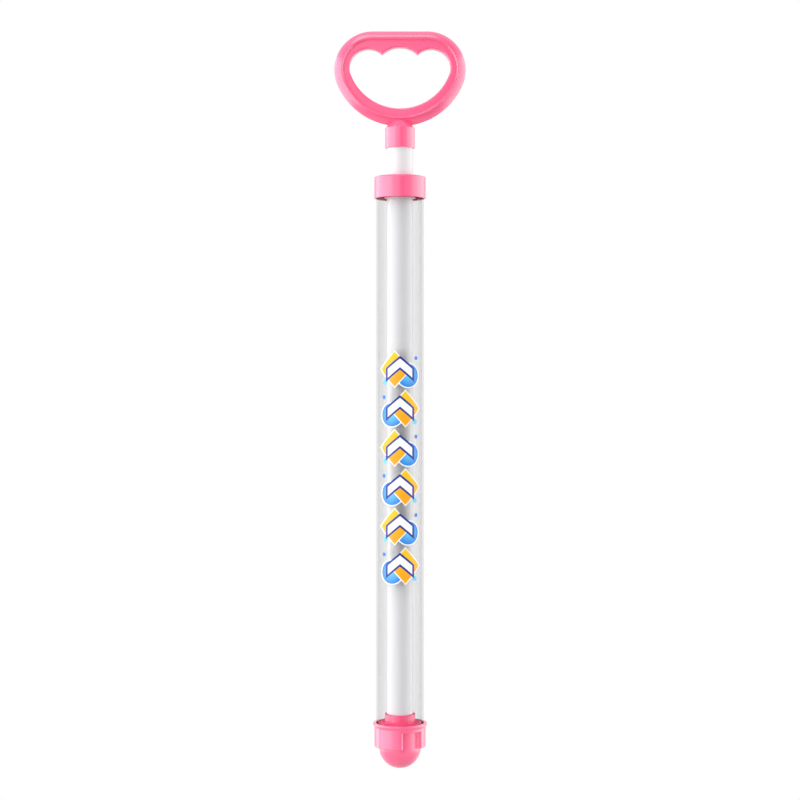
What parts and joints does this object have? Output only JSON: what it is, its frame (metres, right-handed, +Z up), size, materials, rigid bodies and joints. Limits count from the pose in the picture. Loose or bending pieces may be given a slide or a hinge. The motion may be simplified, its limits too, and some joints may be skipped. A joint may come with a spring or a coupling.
{
  "type": "water squirter",
  "caption": "Push-pull toy water squirter: clear barrel with a domed nozzle cap and guide collar, and a sliding plunger with a hollow rod, sealed piston and finger-loop handle.",
  "frame": {"origin": "middle of the nozzle mouth, at the lowest point of the nozzle cap", "axes": "+Z up the barrel's axis from the nozzle to the handle, -Y out of the printed front, X across the handle's loop"},
  "size_m": [0.088, 0.0362, 0.4921],
  "materials": {
    "pink_plastic": "smooth moulded, satin gloss",
    "clear_plastic": "clear extruded tube",
    "white_plastic": "smooth extruded tube",
    "printed_film": "printed adhesive film",
    "black_rubber": "matte moulded rubber"
  },
  "bodies": {
    "barrel": {"barrel_tube": "clear_plastic", "label_film": "printed_film", "nozzle_cap": "pink_plastic", "collar_cap": "pink_plastic"},
    "seal": {"piston_seal": "black_rubber"},
    "plunger": {"handle": "pink_plastic", "plunger_rod": "white_plastic", "piston_hub": "pink_plastic", "piston_retainer": "pink_plastic"}
  },
  "joints": [
    {"name": "plunger_slide", "type": "slide", "parent": "barrel", "child": "seal", "axis": [0, 0, 1], "range_m": [0, 0.344]},
    {"name": "plunger_turn", "type": "hinge", "parent": "seal", "child": "plunger", "pos_m": [0, 0, 0.0277], "axis": [0, 0, 1], "continuous": true}
  ]
}
